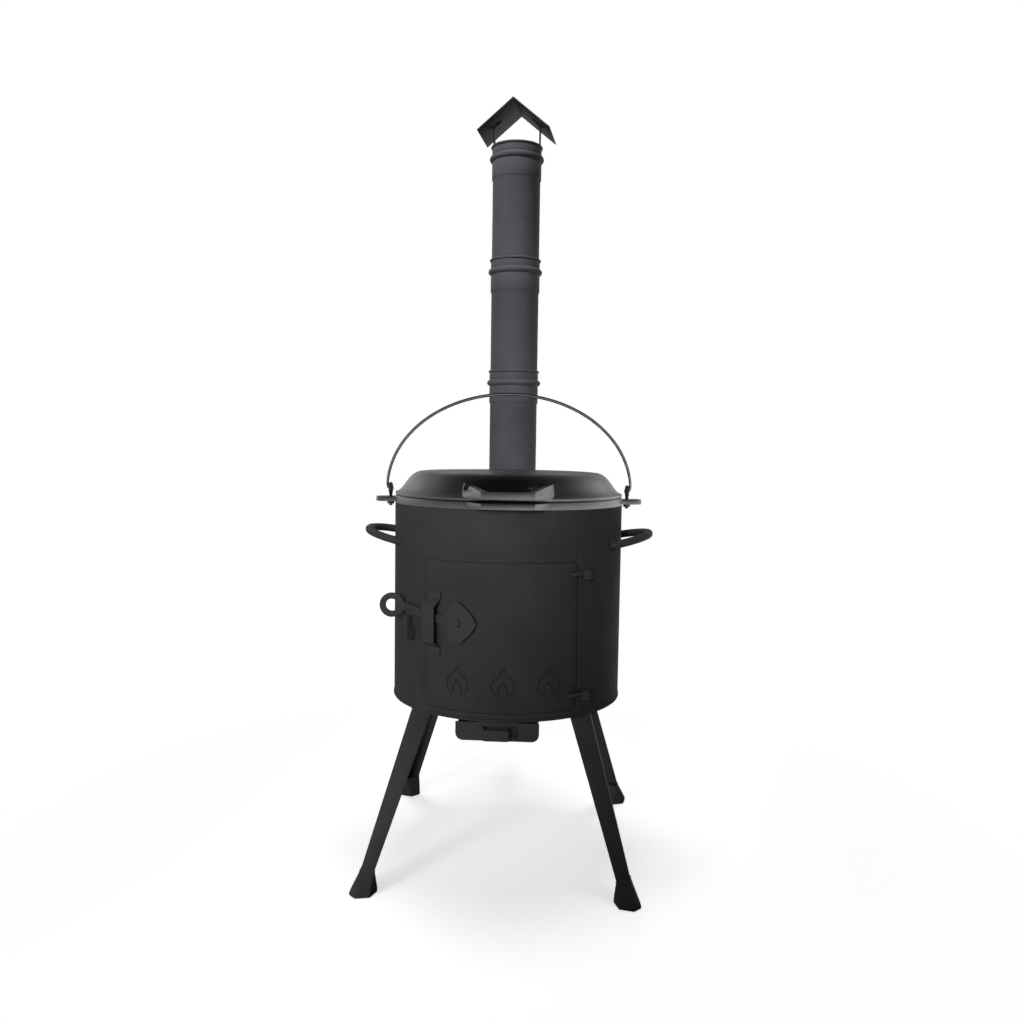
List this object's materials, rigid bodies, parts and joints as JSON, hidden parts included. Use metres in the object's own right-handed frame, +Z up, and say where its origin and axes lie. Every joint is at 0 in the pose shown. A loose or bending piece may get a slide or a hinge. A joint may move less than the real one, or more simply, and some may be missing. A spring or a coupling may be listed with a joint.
{
  "type": "cauldron stove",
  "caption": "Round sheet-steel wood stove on splayed legs, with a cast cauldron, lid and bail in its open top, a latched door, an ash drawer and a capped stove-pipe chimney.",
  "frame": {"origin": "on the ground, under the middle of the object's bounding box", "axes": "+Z up; the fire door and the ash drawer look along -Y, the chimney stands behind on the +Y side; +X is to the right for somebody who faces the door"},
  "size_m": [0.5238, 0.6018, 1.4484],
  "materials": {
    "heat_paint": "matt black heat-resistant paint on sheet steel",
    "cast_aluminium": "dark, satin cast aluminium",
    "pipe_steel": "dark satin enamelled stove pipe",
    "zinc_steel": "dark plated steel wire and fasteners",
    "grate_iron": "rough grey iron",
    "ash_sheet": "matt black sheet steel"
  },
  "bodies": {
    "stove": {"stove_body": "heat_paint", "bottom_plate": "heat_paint", "pot_ring": "heat_paint", "door_frame": "heat_paint", "hinge_eye_lower": "heat_paint", "hinge_eye_upper": "heat_paint", "hinge_pin_lower": "zinc_steel", "hinge_pin_upper": "zinc_steel", "latch_keeper": "heat_paint", "side_handle_left": "heat_paint", "side_handle_right": "heat_paint", "leg_front_left": "heat_paint", "leg_front_right": "heat_paint", "leg_rear_left": "heat_paint", "leg_rear_right": "heat_paint", "foot_front_left": "heat_paint", "foot_front_right": "heat_paint", "foot_rear_left": "heat_paint", "foot_rear_right": "heat_paint", "drawer_rail_left": "heat_paint", "drawer_rail_right": "heat_paint", "flue_box": "heat_paint", "flue_collar": "heat_paint"},
    "door": {"door": "heat_paint", "door_eye_lower": "heat_paint", "door_eye_upper": "heat_paint", "latch_bolt": "zinc_steel", "latch_nut": "zinc_steel", "latch_guide": "heat_paint"},
    "latch": {"latch_lever": "heat_paint"},
    "ash_drawer": {"ash_tray": "ash_sheet", "drawer_front": "heat_paint", "drawer_handle": "heat_paint"},
    "grate": {"fire_grate": "grate_iron"},
    "cauldron": {"cauldron": "cast_aluminium", "eye_bolt_left": "zinc_steel", "eye_bolt_right": "zinc_steel", "eye_nut_left": "zinc_steel", "eye_nut_right": "zinc_steel"},
    "lid": {"lid": "cast_aluminium"},
    "bail": {"bail": "zinc_steel"},
    "chimney_lower": {"chimney_section_1": "pipe_steel"},
    "chimney_middle": {"chimney_section_2": "pipe_steel"},
    "chimney_upper": {"chimney_section_3": "pipe_steel"},
    "rain_cap": {"cap_roof": "pipe_steel", "cap_strut_left": "pipe_steel", "cap_strut_right": "pipe_steel"}
  },
  "joints": [
    {"name": "door_hinge", "type": "hinge", "parent": "stove", "child": "door", "pos_m": [0.14181, -0.22206, 0.4512], "axis": [0, 0, 1], "range_deg": [0, 120]},
    {"name": "latch_pivot", "type": "hinge", "parent": "door", "child": "latch", "pos_m": [-0.0661, -0.26059, 0.4512], "axis": [-0.3155, -0.9489, 0], "range_deg": [-10, 12]},
    {"name": "drawer_slide", "type": "slide", "parent": "stove", "child": "ash_drawer", "axis": [0, -1, 0], "range_m": [0, 0.25]},
    {"name": "grate_lift", "type": "slide", "parent": "stove", "child": "grate", "axis": [0, 0, 1], "range_m": [0, 0.06]},
    {"name": "cauldron_lift", "type": "slide", "parent": "stove", "child": "cauldron", "axis": [0, 0, 1], "range_m": [0, 0.2]},
    {"name": "lid_lift", "type": "slide", "parent": "cauldron", "child": "lid", "axis": [0, 0, 1], "range_m": [0, 0.04]},
    {"name": "bail_hinge", "type": "hinge", "parent": "cauldron", "child": "bail", "pos_m": [0, -0.06179, 0.6601], "axis": [0.998, 0.0628, 0], "range_deg": [-75, 50]},
    {"name": "chimney_lower_lift", "type": "slide", "parent": "stove", "child": "chimney_lower", "axis": [0, 0, 1], "range_m": [0, 0.08]},
    {"name": "chimney_middle_lift", "type": "slide", "parent": "chimney_lower", "child": "chimney_middle", "axis": [0, 0, 1], "range_m": [0, 0.08]},
    {"name": "chimney_upper_lift", "type": "slide", "parent": "chimney_middle", "child": "chimney_upper", "axis": [0, 0, 1], "range_m": [0, 0.08]},
    {"name": "rain_cap_lift", "type": "slide", "parent": "chimney_upper", "child": "rain_cap", "axis": [0, 0, 1], "range_m": [0, 0.05]}
  ]
}
